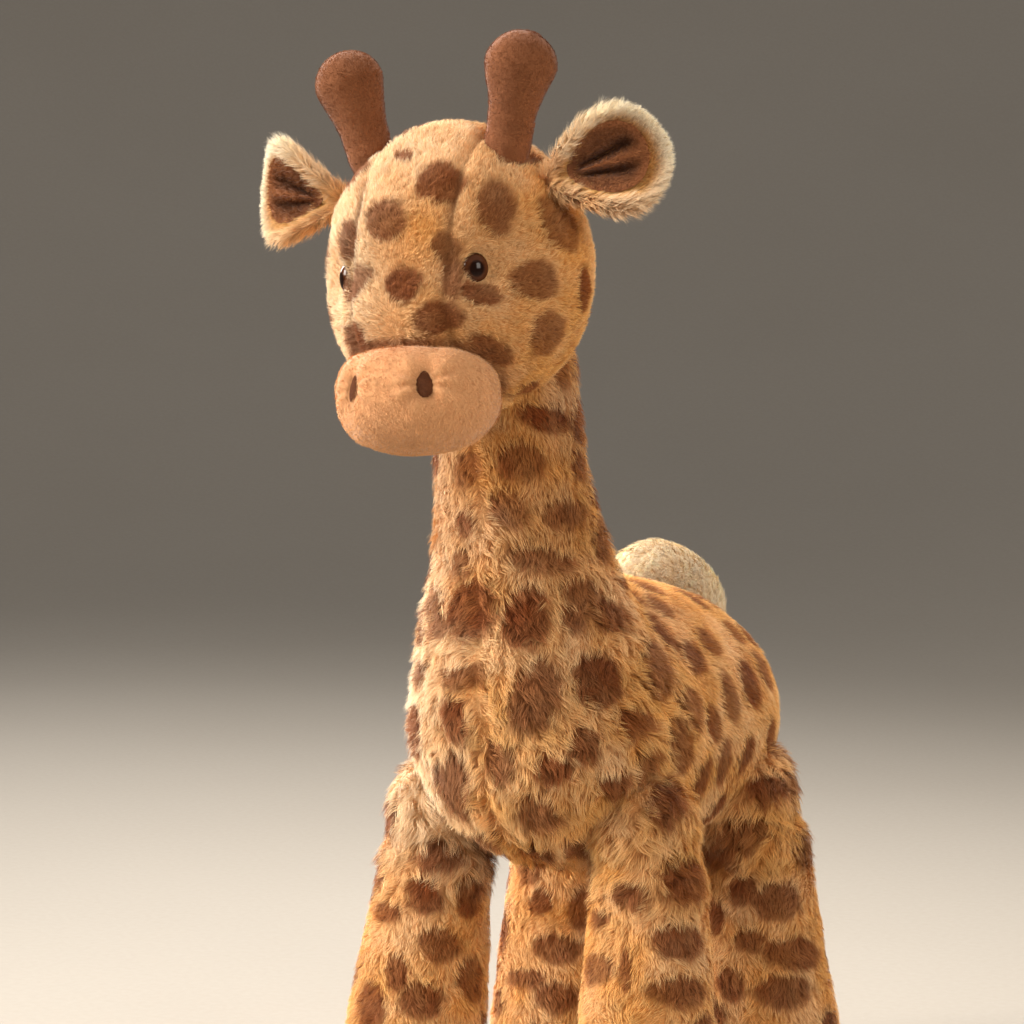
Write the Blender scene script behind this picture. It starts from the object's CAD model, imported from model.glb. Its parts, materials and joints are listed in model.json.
"""Looks of a standing plush giraffe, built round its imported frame.

The toy is wrapped in fuller, softer forms than its CAD covers. Every cloth form is then given
its own pile: tapered ribbons of fur that are laid, clumped and coloured from one spot pattern.
Lengths are in metres, +Z is up and the face looks towards -Y.
"""

import json
import logging
import math
from dataclasses import dataclass, field
from enum import Enum
from typing import Callable, Dict, List, Optional, Sequence, Tuple

import bpy
import numpy as np
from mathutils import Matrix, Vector
from mathutils.bvhtree import BVHTree
from mathutils.kdtree import KDTree


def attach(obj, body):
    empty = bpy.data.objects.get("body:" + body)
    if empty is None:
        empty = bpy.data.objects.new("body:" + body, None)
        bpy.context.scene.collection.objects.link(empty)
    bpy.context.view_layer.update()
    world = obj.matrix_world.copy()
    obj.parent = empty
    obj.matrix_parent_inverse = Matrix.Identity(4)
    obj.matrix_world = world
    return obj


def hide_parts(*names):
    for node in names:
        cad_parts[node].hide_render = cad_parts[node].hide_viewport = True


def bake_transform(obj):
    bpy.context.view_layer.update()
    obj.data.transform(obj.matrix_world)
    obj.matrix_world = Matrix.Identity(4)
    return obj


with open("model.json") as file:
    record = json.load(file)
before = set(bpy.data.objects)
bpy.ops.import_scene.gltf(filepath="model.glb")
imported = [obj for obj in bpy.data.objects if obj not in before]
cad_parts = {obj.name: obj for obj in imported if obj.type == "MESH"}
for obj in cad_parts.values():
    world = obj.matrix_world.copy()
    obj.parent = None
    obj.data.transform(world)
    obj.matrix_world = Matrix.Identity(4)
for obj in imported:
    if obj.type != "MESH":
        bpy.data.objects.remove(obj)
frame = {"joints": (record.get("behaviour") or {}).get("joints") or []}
LOG = logging.getLogger("giraffe")

Array = np.ndarray
Colour = Tuple[float, float, float]
Shares = Callable[[Array], Array]
Flow = Callable[[Array, Array], Array]

# The toy's own frame is the shared one moved by BASE, so that its feet stand at height 0.
NECK_TOP = np.array((0.0, -0.079, 0.271))
NECK_BASE = np.array((0.0, -0.058, 0.176))
JOINTS: Dict[str, Array] = {joint["name"]: np.array(joint["pos_m"]) for joint in frame["joints"]}
BASE = JOINTS["neck_lean"] - NECK_BASE
HEAD_TILT = math.radians(-4.5)
HEAD_TURN = np.array(((math.cos(HEAD_TILT), 0.0, math.sin(HEAD_TILT)), (0.0, 1.0, 0.0),
                      (-math.sin(HEAD_TILT), 0.0, math.cos(HEAD_TILT))))
RIGHT = np.array((1.0, 0.0, 0.0))
BACK = np.array((0.0, 1.0, 0.0))
UP = np.array((0.0, 0.0, 1.0))
SIDES: Tuple[Tuple[str, float], ...] = (("left", 1.0), ("right", -1.0))


# ---------------------------------------------------------------- small tools

def unit(vectors: Array) -> Array:
    """Scale a vector, or rows of them, to length one.

    Args:
        vectors: Three numbers, or rows of three.

    Returns:
        Unit vectors.
    """
    size = np.linalg.norm(vectors, axis=-1, keepdims=True)
    return vectors / np.maximum(size, 1e-12)


def smoothstep(low: float, high: float, values: Array) -> Array:
    """Rise smoothly from 0 at low to 1 at high.

    Args:
        low: Where the rise starts.
        high: Where it ends, above or below low.
        values: What is measured.

    Returns:
        Numbers from 0 to 1.
    """
    share = np.clip((values - low) / (high - low), 0.0, 1.0)
    return share * share * (3.0 - 2.0 * share)


def value_noise(points: Array, wavelength: float, seed: int) -> Array:
    """Smooth random numbers from -1 to 1 over space, the same on each run.

    Args:
        points: Rows of positions.
        wavelength: The size of a bump, in metres.
        seed: Picks one of the patterns.

    Returns:
        One number for each row.
    """
    place = points / wavelength
    cell = np.floor(place).astype(np.int64)
    inner = place - cell
    inner = inner * inner * (3.0 - 2.0 * inner)
    total = np.zeros(len(points))
    for corner in range(8):
        step = np.array(((corner >> 2) & 1, (corner >> 1) & 1, corner & 1))
        at = cell + step
        code = at[:, 0] * 73856093 ^ at[:, 1] * 19349663 ^ at[:, 2] * 83492791 ^ (seed * 2654435761)
        code = (code ^ (code >> 13)) * 1274126177
        code = (code ^ (code >> 16)) & 0xFFFFFF
        weight = np.prod(np.where(step == 1, inner, 1.0 - inner), axis=1)
        total += weight * (code / float(0xFFFFFF) * 2.0 - 1.0)
    return total


def bumps(points: Array, seed: int, *sizes: Tuple[float, float]) -> Array:
    """Noise of several sizes laid on top of each other.

    Args:
        points: Rows of positions.
        seed: The pattern of the first size; each further one takes the next.
        sizes: The wavelength and the height of each.

    Returns:
        One number for each row.
    """
    layers = [high * value_noise(points, wide, seed + i) for i, (wide, high) in enumerate(sizes)]
    return sum(layers)


def tilt_head(points: Array) -> Array:
    """Lean positions of the upright head about the top of the neck, as the photographed head leans."""
    return (points - NECK_TOP) @ HEAD_TURN.T + NECK_TOP


def tilt_way(way: Array) -> Array:
    """Lean a direction with the head."""
    return way @ HEAD_TURN.T


def untilt_head(points: Array) -> Array:
    """Undo tilt_head."""
    return (points - NECK_TOP) @ HEAD_TURN + NECK_TOP


def direction(azimuth: float, latitude: float) -> Array:
    """A unit direction; azimuth 0 looks along -Y and grows towards +X.

    Args:
        azimuth: Degrees round the vertical.
        latitude: Degrees above the horizon.

    Returns:
        Three numbers.
    """
    a, b = math.radians(azimuth), math.radians(latitude)
    return np.array((math.cos(b) * math.sin(a), -math.cos(b) * math.cos(a), math.sin(b)))


def turns(steps: int) -> Array:
    """Angles of equal steps round a circle."""
    return np.arange(steps) / steps * math.tau


def spokes(steps: int, first: Array, second: Array) -> Array:
    """Spokes round a ring.

    Args:
        steps: How many.
        first: The first spoke.
        second: The spoke a quarter turn on.

    Returns:
        A vector for each step.
    """
    angle = turns(steps)[:, None]
    return np.cos(angle) * first + np.sin(angle) * second


def index_of(places: Array) -> KDTree:
    """A tree that finds the nearest of some places.

    Args:
        places: Rows of positions.

    Returns:
        The balanced tree, which gives row numbers.
    """
    tree = KDTree(len(places))
    for i, place in enumerate(places):
        tree.insert(place, i)
    tree.balance()
    return tree


def nearest_in(tree: KDTree, points: Array) -> Array:
    """The number of the tree's place nearest to each point."""
    return np.fromiter((tree.find(place)[1] for place in points), int, len(points))


def vector_field(*numbers: float) -> Array:
    """A dataclass field that holds a small array."""
    return field(default_factory=lambda: np.array(numbers))


# ---------------------------------------------------------------- meshes

@dataclass
class Form:
    """A surface as points and faces, with its own normals."""

    points: Array
    quads: Array
    tris: Array = field(default_factory=lambda: np.zeros((0, 3), int))

    def triangles(self) -> Array:
        """Every face split into rows of three point numbers."""
        q = self.quads
        return np.concatenate((q[:, (0, 1, 2)], q[:, (0, 2, 3)], self.tris))

    def corners(self) -> Tuple[Array, Array, Array]:
        """The positions of every triangle's three corners."""
        tri = self.triangles()
        return self.points[tri[:, 0]], self.points[tri[:, 1]], self.points[tri[:, 2]]

    def normals(self) -> Array:
        """Unit normals at the points, by the area of the faces round them."""
        tri = self.triangles()
        a, b, c = self.corners()
        face = np.cross(b - a, c - a)
        out = np.zeros_like(self.points)
        for i in range(3):
            for axis in range(3):
                out[:, axis] += np.bincount(tri[:, i], face[:, axis], len(out))
        return unit(out)

    def pushed(self, amounts: Array) -> "Form":
        """Move each point along its normal.

        Args:
            amounts: A distance for each point.

        Returns:
            The moved form.
        """
        return Form(self.points + self.normals() * amounts[:, None], self.quads, self.tris)

    def outward(self) -> "Form":
        """The same form with its normals pointing away from its inside."""
        a, b, c = self.corners()
        if np.einsum("ij,ij->i", a, np.cross(b, c)).sum() < 0.0:
            return Form(self.points, self.quads[:, ::-1], self.tris[:, ::-1])
        return self

    def tilted(self) -> "Form":
        """The form leaned with the head."""
        return Form(tilt_head(self.points), self.quads, self.tris)


def ring_quads(count: int, steps: int) -> Array:
    """Faces between neighbouring rings of points.

    Args:
        count: How many rings.
        steps: Points round each of them.

    Returns:
        Rows of four point numbers.
    """
    row, step = np.meshgrid(np.arange(count - 1), np.arange(steps), indexing="ij")
    here, after = row * steps + step, row * steps + (step + 1) % steps
    return np.stack((here, after, after + steps, here + steps), -1).reshape(-1, 4)


def closed_tube(rings: Array, first: Array, last: Array) -> Form:
    """Join rings of points into a closed form with a pole at each end.

    Args:
        rings: Points by ring and by step round it.
        first: The pole before the first ring.
        last: The pole after the last ring.

    Returns:
        The form, faces outwards.
    """
    count, steps = rings.shape[:2]
    points = np.concatenate((rings.reshape(-1, 3), [first], [last]))
    here = np.arange(steps)
    after = (here + 1) % steps
    end = (count - 1) * steps
    tris = np.concatenate((
        np.stack((np.full(steps, count * steps), after, here), -1),
        np.stack((np.full(steps, count * steps + 1), end + here, end + after), -1)))
    return Form(points, ring_quads(count, steps), tris).outward()


def ball_form(shape: Callable[[Array], Array], pole: int, rings: int, steps: int) -> Form:
    """A unit ball whose points are moved by a shaping function.

    Args:
        shape: Gives positions for rows of unit vectors.
        pole: The axis through the poles, 0 to 2.
        rings: Rings between the poles.
        steps: Points round a ring.

    Returns:
        The closed form.
    """
    lat = (np.arange(1, rings + 1) / (rings + 1) - 0.5) * math.pi
    la, lo = np.meshgrid(lat, turns(steps), indexing="ij")
    local = np.stack((np.cos(la) * np.cos(lo), np.cos(la) * np.sin(lo), np.sin(la)), -1)
    order = {0: (2, 0, 1), 1: (1, 2, 0), 2: (0, 1, 2)}[pole]
    grid = local[..., order].reshape(-1, 3)
    ends = np.zeros((2, 3))
    ends[0, pole], ends[1, pole] = -1.0, 1.0
    first, last = shape(ends)
    return closed_tube(shape(grid).reshape(rings, steps, 3), first, last)


def make_mesh(name: str, form: Form, colours: Optional[Array] = None) -> bpy.types.Object:
    """Write a form to a new object in the scene, in the shared frame.

    Args:
        name: The object's name.
        form: Its points and faces, in the toy's own frame.
        colours: A linear colour for each point, or None.

    Returns:
        The object.
    """
    mesh = bpy.data.meshes.new(name)
    corners = [part for part in (form.quads, form.tris) if len(part)]
    loops = np.concatenate([part.ravel() for part in corners]).astype(np.int32)
    totals = np.concatenate([np.full(len(part), part.shape[1]) for part in corners]).astype(np.int32)
    starts = np.concatenate(([0], np.cumsum(totals)[:-1])).astype(np.int32)
    mesh.vertices.add(len(form.points))
    mesh.vertices.foreach_set("co", (form.points + BASE).astype(np.float32).ravel())
    mesh.loops.add(len(loops))
    mesh.loops.foreach_set("vertex_index", loops)
    mesh.polygons.add(len(totals))
    mesh.polygons.foreach_set("loop_start", starts)
    mesh.polygons.foreach_set("loop_total", totals)
    mesh.polygons.foreach_set("use_smooth", np.ones(len(totals), bool))
    mesh.update(calc_edges=True)
    if colours is not None:
        layer = mesh.color_attributes.new("pile", "FLOAT_COLOR", "POINT")
        rgba = np.concatenate((colours, np.ones((len(colours), 1))), 1).astype(np.float32)
        layer.data.foreach_set("color", rgba.ravel())
    item = bpy.data.objects.new(name, mesh)
    bpy.context.scene.collection.objects.link(item)
    return item


# ---------------------------------------------------------------- finishes

@dataclass(frozen=True)
class Finish:
    """A procedural cloth or plastic finish on a Principled shader.

    Its colour wanders between two by a coarse patch noise and a fine grain noise. Where it
    uses the pile, that is multiplied by the colour that each point of the mesh carries.
    """

    name: str
    colour: Colour
    second: Colour
    roughness: float
    sheen: float
    grain: float
    patch: float
    bump: float = 0.0
    specular: float = 0.2
    uses_pile: bool = False

    def build(self) -> bpy.types.Material:
        """Make the material with its node tree."""
        material = bpy.data.materials.new(self.name)
        material.use_nodes = True
        nodes, links = material.node_tree.nodes, material.node_tree.links
        shader = nodes["Principled BSDF"]
        shader.inputs["Roughness"].default_value = self.roughness
        shader.inputs["Sheen Weight"].default_value = self.sheen
        shader.inputs["Sheen Roughness"].default_value = 0.5
        shader.inputs["Specular IOR Level"].default_value = self.specular
        place = nodes.new("ShaderNodeTexCoord")
        both = nodes.new("ShaderNodeMath")
        both.operation = "ADD"
        for i, (scale, detail) in enumerate(((self.patch, 3.0), (self.grain, 2.0))):
            noise = nodes.new("ShaderNodeTexNoise")
            noise.inputs["Scale"].default_value = scale
            noise.inputs["Detail"].default_value = detail
            links.new(place.outputs["Object"], noise.inputs["Vector"])
            links.new(noise.outputs["Fac"], both.inputs[i])
        ramp = nodes.new("ShaderNodeMapRange")
        ramp.inputs["From Min"].default_value = 0.7
        ramp.inputs["From Max"].default_value = 1.3
        links.new(both.outputs[0], ramp.inputs["Value"])
        shade = nodes.new("ShaderNodeMix")
        shade.data_type = "RGBA"
        shade.inputs["A"].default_value = (*self.colour, 1.0)
        shade.inputs["B"].default_value = (*self.second, 1.0)
        links.new(ramp.outputs[0], shade.inputs["Factor"])
        result = shade.outputs["Result"]
        if self.uses_pile:
            pile = nodes.new("ShaderNodeAttribute")
            pile.attribute_name = "pile"
            tint = nodes.new("ShaderNodeMix")
            tint.data_type = "RGBA"
            tint.blend_type = "MULTIPLY"
            tint.inputs["Factor"].default_value = 1.0
            links.new(pile.outputs["Color"], tint.inputs["A"])
            links.new(result, tint.inputs["B"])
            result = tint.outputs["Result"]
        links.new(result, shader.inputs["Base Color"])
        if self.bump > 0.0:
            bump = nodes.new("ShaderNodeBump")
            bump.inputs["Strength"].default_value = 0.8
            bump.inputs["Distance"].default_value = self.bump
            links.new(noise.outputs["Fac"], bump.inputs["Height"])
            links.new(bump.outputs["Normal"], shader.inputs["Normal"])
        return material


class Finishes(Enum):
    """Every finish of the toy and its studio."""

    FUR = Finish("fur_fibres", (0.92, 0.92, 0.92), (1.08, 1.06, 1.03), 0.80, 0.08, 1400.0, 70.0,
                 specular=0.12, uses_pile=True)
    FUR_CLOTH = Finish("fur_backing", (0.80, 0.80, 0.80), (1.0, 1.0, 1.0), 0.95, 0.1, 900.0, 60.0,
                       bump=0.0005, uses_pile=True)
    MUZZLE = Finish("muzzle_velour", (0.90, 0.87, 0.84), (1.04, 1.05, 1.08), 0.85, 0.35, 1500.0, 70.0,
                    bump=0.00025, uses_pile=True)
    HORN = Finish("horn_velour", (0.175, 0.060, 0.022), (0.245, 0.090, 0.035), 0.92, 0.12, 1700.0, 90.0,
                  bump=0.0002)
    LINING = Finish("ear_lining_pile", (0.80, 0.80, 0.80), (1.10, 1.10, 1.10), 0.9, 0.3, 1100.0, 110.0,
                    bump=0.0004, uses_pile=True)
    SOLE = Finish("sole_velour", (0.20, 0.085, 0.040), (0.28, 0.13, 0.065), 0.88, 0.3, 1500.0, 80.0,
                  bump=0.0003)
    THREAD = Finish("nostril_thread", (0.080, 0.025, 0.009), (0.130, 0.043, 0.016), 0.90, 0.0, 2600.0,
                    400.0, bump=0.0002)
    EYE = Finish("eye_plastic", (0.9, 0.9, 0.9), (1.0, 1.0, 1.0), 0.10, 0.0, 300.0, 200.0,
                 specular=0.16, uses_pile=True)
    PAPER = Finish("studio_paper", (0.326, 0.298, 0.264), (0.346, 0.318, 0.284), 0.95, 0.0, 300.0, 3.0)


# ---------------------------------------------------------------- spots

@dataclass
class Spots:
    """Brown spots laid on the fur, each inside a flat box that is given by its inverse."""

    middles: Array
    inverses: Array
    shades: Array
    reach: float = 0.026

    @staticmethod
    def from_axes(middles: Array, first: Array, second: Array, normals: Array, shades: Array) -> "Spots":
        """Make the pattern from half-axes.

        Args:
            middles: Rows of positions.
            first: The first half-axis of each.
            second: The second half-axis of each.
            normals: The surface's normal at each.
            shades: How strong each spot is, from 0 to 1.

        Returns:
            The pattern.
        """
        half_depth = 0.014
        frames = np.stack((first, second, normals * half_depth), 2)
        return Spots(middles, np.linalg.inv(frames), shades)

    def cover(self, points: Array) -> Array:
        """How brown the fur is.

        Args:
            points: Rows of positions.

        Returns:
            From 0 for plain fur to 1 for the middle of a spot.
        """
        wobble = bumps(points, 71, (0.0075, 0.16), (0.0030, 0.10))
        best = np.zeros(len(points))
        low, high = points.min(0) - 0.03, points.max(0) + 0.03
        for middle, inverse, shade in zip(self.middles, self.inverses, self.shades):
            if (middle < low).any() or (middle > high).any():
                continue
            near = np.flatnonzero(np.abs(points - middle).max(1) < self.reach)
            local = (points[near] - middle) @ inverse.T
            off = np.hypot(local[:, 0], local[:, 1]) + wobble[near]
            here = smoothstep(1.16, 0.84, off) * (np.abs(local[:, 2]) < 1.0) * shade
            best[near] = np.maximum(best[near], here)
        return best


class PhotoEye:
    """The camera that the photograph was taken with, in the toy's own frame."""

    pixels = 1024.0
    azimuth = math.radians(28.0)
    pitch = math.radians(4.9)
    focal = 3188.0
    side_shift, distance, height = -0.0335, 1.1, 0.316
    target = np.array((0.0, -0.05, 0.0))

    def __init__(self) -> None:
        self.right = np.array((math.cos(self.azimuth), math.sin(self.azimuth), 0.0))
        back = np.array((math.sin(self.azimuth), -math.cos(self.azimuth), 0.0))
        reach = self.distance + float(self.target @ back)
        self.place = self.right * self.side_shift + back * reach + UP * self.height
        self.forward = -back * math.cos(self.pitch) - UP * math.sin(self.pitch)
        self.up = np.cross(self.right, self.forward)

    def ray(self, across: float, down: float) -> Array:
        """The unit direction through a point of the picture.

        Args:
            across: Pixels from the left of the picture.
            down: Pixels from its top.

        Returns:
            Three numbers.
        """
        half = self.pixels / 2.0
        return unit(self.forward * self.focal + self.right * (across - half) + self.up * (half - down))


class SpotPainter:
    """Lays the spots that the photograph shows, and fills the unseen sides with more of their kind."""

    # Spots by eye from the photograph: middle across and down, half width, half height, turn in degrees
    seen = (
        (441, 184, 27, 20, 5), (386, 222, 20, 20, 0), (494, 209, 20, 29, 0), (559, 226, 16, 28, -30),
        (532, 281, 24, 19, 18), (547, 334, 16, 25, 25), (404, 285, 20, 18, -20), (438, 318, 17, 18, 0),
        (447, 249, 13, 15, 0), (346, 240, 9, 20, 0), (479, 295, 22, 10, 14), (490, 349, 24, 12, 32),
        (583, 290, 9, 22, 0), (526, 388, 14, 12, -25), (520, 158, 22, 8, 8), (450, 277, 8, 24, 0),
        (404, 157, 9, 6, 0), (546, 416, 26, 14, 8), (521, 459, 27, 21, 0), (466, 466, 13, 20, 0),
        (506, 507, 19, 18, 0), (566, 512, 21, 16, 0), (577, 462, 9, 17, 0), (540, 556, 32, 14, 12),
        (467, 520, 11, 13, 0), (463, 561, 11, 15, 0), (473, 609, 22, 33, 8), (524, 613, 23, 34, 0),
        (580, 590, 20, 15, 20), (609, 614, 20, 15, 40), (464, 675, 21, 12, 0), (533, 693, 22, 37, 15),
        (597, 677, 22, 27, 0), (652, 667, 13, 31, -18), (631, 720, 19, 17, 0), (583, 741, 16, 19, 0),
        (500, 757, 16, 20, 0), (552, 765, 19, 13, 0), (454, 781, 17, 32, -14), (538, 807, 22, 17, 22),
        (487, 836, 21, 12, 12), (533, 848, 18, 8, 5), (575, 843, 15, 9, -5), (610, 781, 15, 13, -10),
        (665, 799, 15, 22, 8), (677, 743, 12, 27, -5), (691, 657, 10, 20, -28), (688, 705, 11, 24, -16),
        (710, 722, 9, 21, -8), (701, 775, 10, 25, 15), (723, 759, 9, 23, 8), (745, 750, 9, 21, 14),
        (727, 696, 10, 26, -16), (748, 683, 10, 26, -18), (768, 731, 8, 22, -5), (704, 640, 10, 19, -42),
        (770, 786, 22, 14, -16), (744, 831, 25, 17, 0), (722, 853, 18, 15, 0), (804, 846, 13, 20, 0),
        (742, 888, 14, 15, 0), (779, 899, 24, 21, 0), (750, 937, 15, 12, 0), (796, 951, 25, 16, 0),
        (782, 990, 29, 17, 0), (716, 915, 8, 18, 0), (682, 875, 18, 23, 0), (635, 894, 17, 14, 0),
        (679, 940, 25, 20, 0), (684, 989, 27, 17, 0), (596, 966, 13, 16, 0), (627, 966, 6, 21, 0),
        (600, 915, 9, 11, 0), (440, 853, 24, 15, 14), (425, 893, 18, 19, 0), (470, 894, 12, 22, 0),
        (441, 943, 21, 18, 20), (389, 910, 14, 11, 0), (398, 970, 11, 18, 0), (422, 998, 23, 19, 0),
        (470, 978, 13, 22, 0), (541, 900, 12, 13, 0), (580, 906, 11, 22, 0), (558, 946, 25, 15, 0),
        (524, 976, 20, 10, 0), (556, 994, 22, 18, 0), (697, 590, 10, 9, 0),
    )
    # Tries for further spots, their smallest and largest half width, and how long for their width
    tries, half_widths, longer = 9000, (0.0052, 0.0086), (1.0, 1.5)
    # Above this height a spot is small and keeps to what the picture hides; below the other, all is free
    head_height, cut_height = 0.262, 0.050

    def __init__(self, forms: Sequence[Form]) -> None:
        self.eye = PhotoEye()
        starts = np.cumsum([0] + [len(form.points) for form in forms])
        self.points = np.concatenate([form.points for form in forms])
        self.faces = np.concatenate([form.triangles() + start for form, start in zip(forms, starts)])
        self.tree = BVHTree.FromPolygons(self.points.tolist(), self.faces.tolist())

    def lay_seen(self) -> List[Tuple[Array, Array, Array, Array]]:
        """Throw the seen spots onto the forms.

        Returns:
            Middle, two half-axes and normal of each.
        """
        made = []
        for across, down, wide, tall, turn in self.seen:
            way = self.eye.ray(across, down)
            hit, normal, _, far = self.tree.ray_cast(Vector(self.eye.place), Vector(way))
            if hit is None:
                continue
            middle, normal = np.array(hit), np.array(normal)
            if normal @ way > 0.0:
                normal = -normal
            scale = far / self.eye.focal
            c, s = math.cos(math.radians(turn)), math.sin(math.radians(turn))
            flat = ((self.eye.right * c - self.eye.up * s) * wide * scale,
                    (self.eye.right * s + self.eye.up * c) * tall * scale)
            axes = []
            for axis in flat:
                lean = axis - way * (axis @ normal) / min(-0.45, float(way @ normal))
                lean = lean - normal * (lean @ normal)
                longest = float(np.linalg.norm(axis)) * 1.9
                size = float(np.linalg.norm(lean))
                axes.append(lean * min(1.0, longest / max(size, 1e-9)))
            made.append((middle, axes[0], axes[1], normal))
        return made

    def in_photo(self, middle: Array, normal: Array) -> bool:
        """Whether the photograph shows a place well enough for its spots to have been read from it.

        Args:
            middle: The place.
            normal: The surface's normal there.

        Returns:
            True where it faces the camera, is above the picture's edge and nothing stands before it.
        """
        toward = unit(self.eye.place - middle)
        shown = 0.04 if middle[2] > 0.265 else 0.38
        if float(normal @ toward) <= shown or middle[2] <= self.cut_height:
            return False
        start = middle + normal * 0.001
        way = self.eye.place - start
        far = float(np.linalg.norm(way))
        return self.tree.ray_cast(Vector(start), Vector(way / far), far)[0] is None

    def paint(self, rng: np.random.Generator) -> Spots:
        """Make the whole pattern.

        Args:
            rng: The source of chance.

        Returns:
            The pattern of seen and invented spots.
        """
        found = self.lay_seen()
        middles = [item[0] for item in found]
        sizes = [0.5 * (np.linalg.norm(item[1]) + np.linalg.norm(item[2])) for item in found]
        a, b, c = (self.points[self.faces[:, i]] for i in range(3))
        cross = np.cross(b - a, c - a)
        area = np.linalg.norm(cross, axis=1)
        picks = rng.choice(len(area), self.tries, p=area / area.sum())
        for middle, normal in zip((a + b + c)[picks] / 3.0, unit(cross[picks])):
            if self.in_photo(middle, normal):
                continue
            size = rng.uniform(*self.half_widths)
            if middle[2] > self.head_height:
                size *= 0.86
            gap = size * 0.62 - 0.0006
            room = np.linalg.norm(np.array(middles) - middle, axis=1) - np.array(sizes)
            if room.min() < size + gap:
                continue
            along = np.array((0.0, 0.25, -1.0)) + rng.normal(0.0, 0.35, 3)
            along = unit(along - normal * (along @ normal))
            longer = rng.uniform(*self.longer)
            found.append((middle, along * size * longer, np.cross(normal, along) * size, normal))
            middles.append(middle)
            sizes.append(size * (1.0 + longer) / 2.0)
        parts = [np.array(column) for column in zip(*found)]
        shades = rng.uniform(0.82, 1.0, len(found))
        LOG.info("spots: %d seen, %d in all", len(self.seen), len(found))
        return Spots.from_axes(*parts, shades)


# ---------------------------------------------------------------- pile

@dataclass(frozen=True)
class Tones:
    """Linear colours of a fibre at its root, its middle and its tip."""

    root: Colour
    middle: Colour
    tip: Colour

    def each(self) -> Tuple[Array, Array, Array]:
        """The three colours as arrays."""
        return np.array(self.root), np.array(self.middle), np.array(self.tip)


class Dye(Enum):
    """The dyes of the pile."""

    GOLD = Tones((0.500, 0.185, 0.040), (0.740, 0.360, 0.100), (0.890, 0.560, 0.215))
    BROWN = Tones((0.125, 0.026, 0.005), (0.210, 0.047, 0.009), (0.290, 0.076, 0.017))
    CREAM = Tones((0.800, 0.520, 0.260), (0.920, 0.710, 0.470), (0.970, 0.850, 0.670))
    MUZZLE = Tones((0.560, 0.260, 0.105), (0.730, 0.385, 0.175), (0.820, 0.500, 0.265))
    HORN = Tones((0.180, 0.060, 0.022), (0.225, 0.078, 0.029), (0.300, 0.112, 0.044))
    LINING = Tones((0.230, 0.080, 0.028), (0.350, 0.130, 0.048), (0.430, 0.178, 0.072))
    FOLD = Tones((0.055, 0.018, 0.007), (0.090, 0.031, 0.012), (0.130, 0.048, 0.019))
    CREASE = Tones((0.300, 0.120, 0.045), (0.340, 0.145, 0.058), (0.400, 0.185, 0.080))
    TAIL = Tones((0.950, 0.740, 0.470), (0.980, 0.830, 0.600), (0.990, 0.890, 0.720))
    WHITE = Tones((0.860, 0.680, 0.440), (0.940, 0.820, 0.620), (0.970, 0.900, 0.760))


@dataclass
class ShadedDye:
    """One dye that turns into another where a pattern says so."""

    plain: Dye
    other: Dye
    share: Shares

    def __call__(self, points: Array) -> Tuple[Array, ...]:
        """Colours at the root, middle and tip of the fibres that grow at some points."""
        share = np.clip(self.share(points), 0.0, 1.0)[:, None]
        pairs = zip(self.plain.value.each(), self.other.value.each())
        return tuple(first + (second - first) * share for first, second in pairs)


@dataclass
class SpottedDye:
    """Golden fur with brown spots, paler where the light fur shows and darker in a crease."""

    spots: Spots
    pale: Shares
    crease: Optional[Shares] = None

    def __call__(self, points: Array) -> Tuple[Array, ...]:
        """Colours at the root, middle and tip of the fibres that grow at some points."""
        brown = self.spots.cover(points)
        if self.crease is not None:
            brown = np.maximum(brown, self.crease(points))
        brown = (brown * (0.92 + 0.10 * value_noise(points, 0.005, 93)))[:, None]
        mottle = bumps(points, 91, (0.020, 0.22), (0.008, 0.20))
        pale = np.clip(self.pale(points) + mottle, 0.0, 1.0)[:, None]
        out = []
        for gold, cream, dark in zip(*(dye.value.each() for dye in (Dye.GOLD, Dye.CREAM, Dye.BROWN))):
            light = gold + (cream - gold) * pale
            out.append(light + (dark - light) * brown)
        return tuple(out)


@dataclass(frozen=True)
class Coat:
    """How one area's pile is sown, cut, laid and clumped.

    It has a count of fibres, their length and width, how far they stand up (0 to 1), how many
    share a tuft, how far a tuft draws them together (0 to 1), and how far they stray.
    """

    count: int
    length: float
    width: float
    lift: float
    clump: float
    pull: float
    stray: float


class Coats(Enum):
    """The pile of each part."""

    TORSO = Coat(170000, 0.0057, 0.00021, 0.38, 32.0, 0.52, 0.62)
    NECK = Coat(90000, 0.0049, 0.00020, 0.38, 26.0, 0.46, 0.56)
    HEAD = Coat(150000, 0.0023, 0.00015, 0.38, 18.0, 0.28, 0.45)
    MUZZLE = Coat(42000, 0.0011, 0.00012, 0.34, 14.0, 0.34, 0.55)
    EAR = Coat(30000, 0.0042, 0.00018, 0.36, 18.0, 0.36, 0.42)
    LINING = Coat(9000, 0.0014, 0.00016, 0.45, 14.0, 0.3, 0.40)
    HORN = Coat(18000, 0.0008, 0.00011, 0.34, 12.0, 0.3, 0.55)
    LEG = Coat(60000, 0.0043, 0.00020, 0.31, 30.0, 0.50, 0.64)
    TAIL = Coat(32000, 0.0036, 0.00020, 0.30, 22.0, 0.34, 0.40)


@dataclass
class Roots:
    """Where fibres grow: a place, a normal, a lie and a share of the coat's length for each."""

    points: Array
    normals: Array
    flow: Array
    scale: Array

    def kept(self, mask: Array) -> "Roots":
        """The roots for which the mask is True."""
        return Roots(self.points[mask], self.normals[mask], self.flow[mask], self.scale[mask])


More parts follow.
